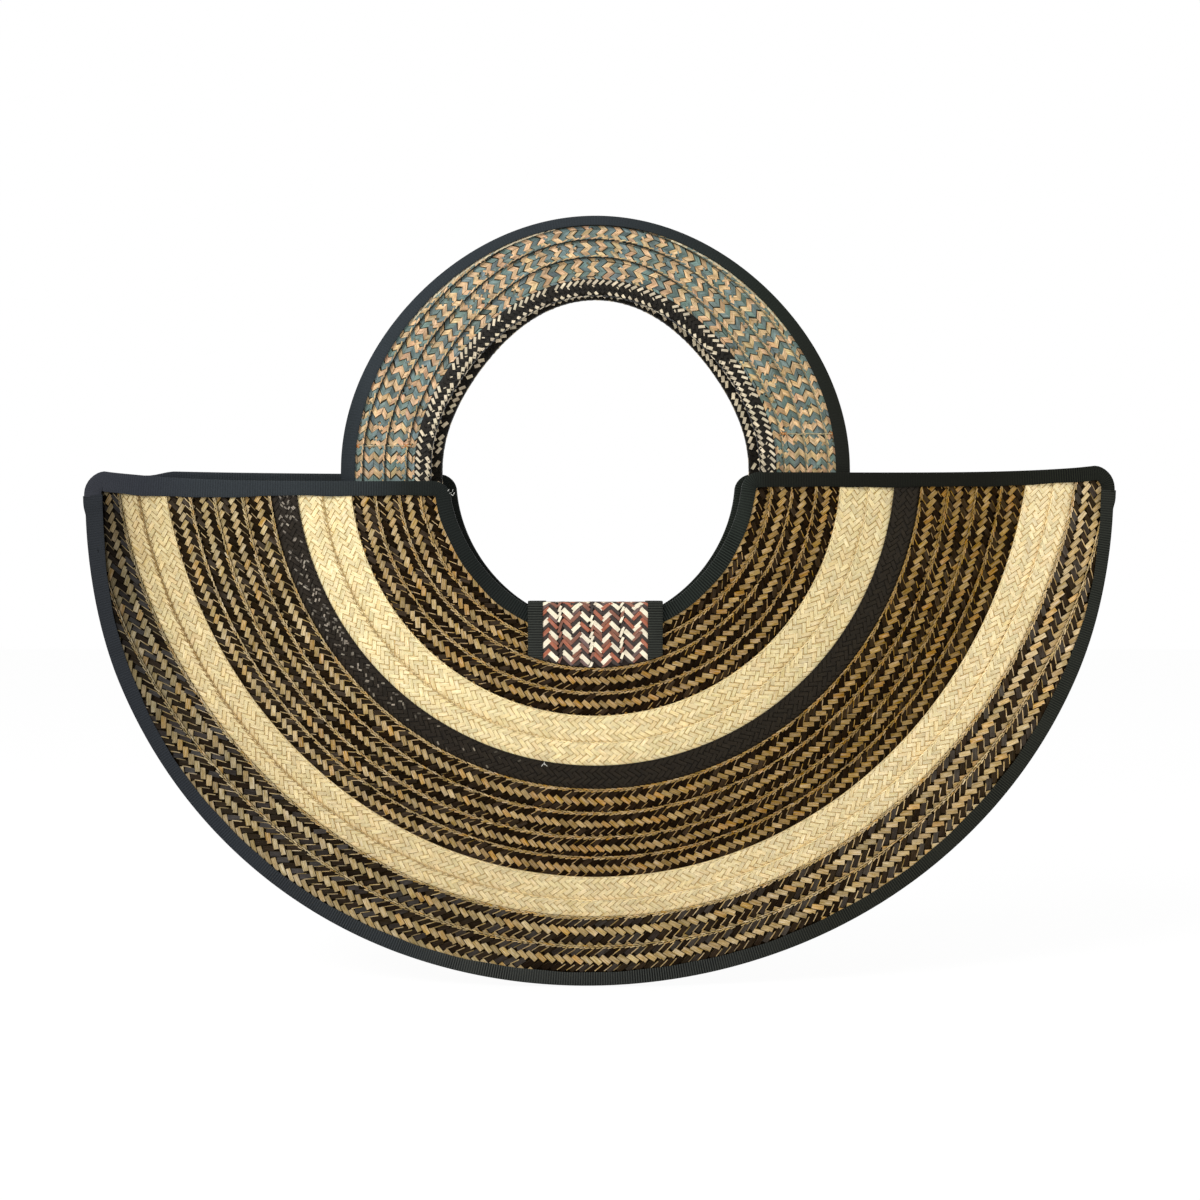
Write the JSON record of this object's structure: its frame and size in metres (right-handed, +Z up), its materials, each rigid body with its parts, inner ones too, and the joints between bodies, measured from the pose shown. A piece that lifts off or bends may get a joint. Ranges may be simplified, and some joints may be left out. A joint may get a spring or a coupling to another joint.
{
  "type": "handbag",
  "caption": "Flat half-moon bag of braided straw strips bound with ribbon, with two arch handles that tilt outward and a woven tab that closes the mouth.",
  "frame": {"origin": "the grip: the middle of the underside of the two handle arches, which the bag hangs from", "axes": "+X along the bag's width, to the viewer's right; -Y out of the front panel; +Z up"},
  "size_m": [0.5202, 0.0572, 0.3838],
  "materials": {
    "straw_brown": "matt braided straw, tan and dark brown",
    "straw_natural": "matt braided natural straw",
    "straw_dark": "lightly glossy dark braided straw",
    "straw_handle": "matt braided straw, tan and teal",
    "straw_tab": "matt braided straw, cream, rust and dark",
    "braid_edging": "dark braid with cream slanting stitches",
    "ribbon": "black ribbed ribbon",
    "lining": "plain cotton lining",
    "snap": "plain plated steel"
  },
  "bodies": {
    "pouch": {"front_lining": "lining", "front_braid_1_brown": "straw_brown", "front_braid_2_brown": "straw_brown", "front_braid_3_brown": "straw_brown", "front_braid_4_brown": "straw_brown", "front_braid_5_natural": "straw_natural", "front_braid_6_natural": "straw_natural", "front_braid_7_dark": "straw_dark", "front_braid_8_brown": "straw_brown", "front_braid_9_brown": "straw_brown", "front_braid_10_brown": "straw_brown", "front_braid_11_brown": "straw_brown", "front_braid_12_natural": "straw_natural", "front_braid_13_natural": "straw_natural", "front_braid_14_brown": "straw_brown", "front_braid_15_brown": "straw_brown", "front_mouth_ribbon": "ribbon", "rear_lining": "lining", "rear_braid_1_brown": "straw_brown", "rear_braid_2_brown": "straw_brown", "rear_braid_3_brown": "straw_brown", "rear_braid_4_brown": "straw_brown", "rear_braid_5_natural": "straw_natural", "rear_braid_6_natural": "straw_natural", "rear_braid_7_dark": "straw_dark", "rear_braid_8_brown": "straw_brown", "rear_braid_9_brown": "straw_brown", "rear_braid_10_brown": "straw_brown", "rear_braid_11_brown": "straw_brown", "rear_braid_12_natural": "straw_natural", "rear_braid_13_natural": "straw_natural", "rear_braid_14_brown": "straw_brown", "rear_braid_15_brown": "straw_brown", "rear_mouth_ribbon": "ribbon", "seam_ribbon": "ribbon", "tab_sewn_part": "straw_tab", "tab_sewn_ribbon_right": "ribbon", "tab_sewn_ribbon_left": "ribbon", "panel_snap": "snap"},
    "front_handle": {"front_handle_backing": "lining", "front_handle_braid_1": "straw_handle", "front_handle_braid_2": "straw_handle", "front_handle_braid_3": "straw_handle", "front_handle_braid_4": "straw_handle", "front_handle_edging": "braid_edging", "front_handle_ribbon": "ribbon"},
    "rear_handle": {"rear_handle_backing": "lining", "rear_handle_braid_1": "straw_handle", "rear_handle_braid_2": "straw_handle", "rear_handle_braid_3": "straw_handle", "rear_handle_braid_4": "straw_handle", "rear_handle_edging": "braid_edging", "rear_handle_ribbon": "ribbon"},
    "closing_tab": {"tab_flap": "straw_tab", "tab_flap_ribbon_right": "ribbon", "tab_flap_ribbon_left": "ribbon", "flap_snap": "snap"}
  },
  "joints": [
    {"name": "front_handle_tilt", "type": "hinge", "parent": "pouch", "child": "front_handle", "pos_m": [0, -0.01671, -0.08698], "axis": [1, 0, 0], "range_deg": [0, 30]},
    {"name": "rear_handle_tilt", "type": "hinge", "parent": "pouch", "child": "rear_handle", "pos_m": [0, 0.01671, -0.08698], "axis": [-1, 0, 0], "range_deg": [0, 30]},
    {"name": "closing_tab_lift", "type": "hinge", "parent": "pouch", "child": "closing_tab", "pos_m": [0, -0.02836, -0.15455], "axis": [1, 0, 0], "range_deg": [0, 150]}
  ]
}
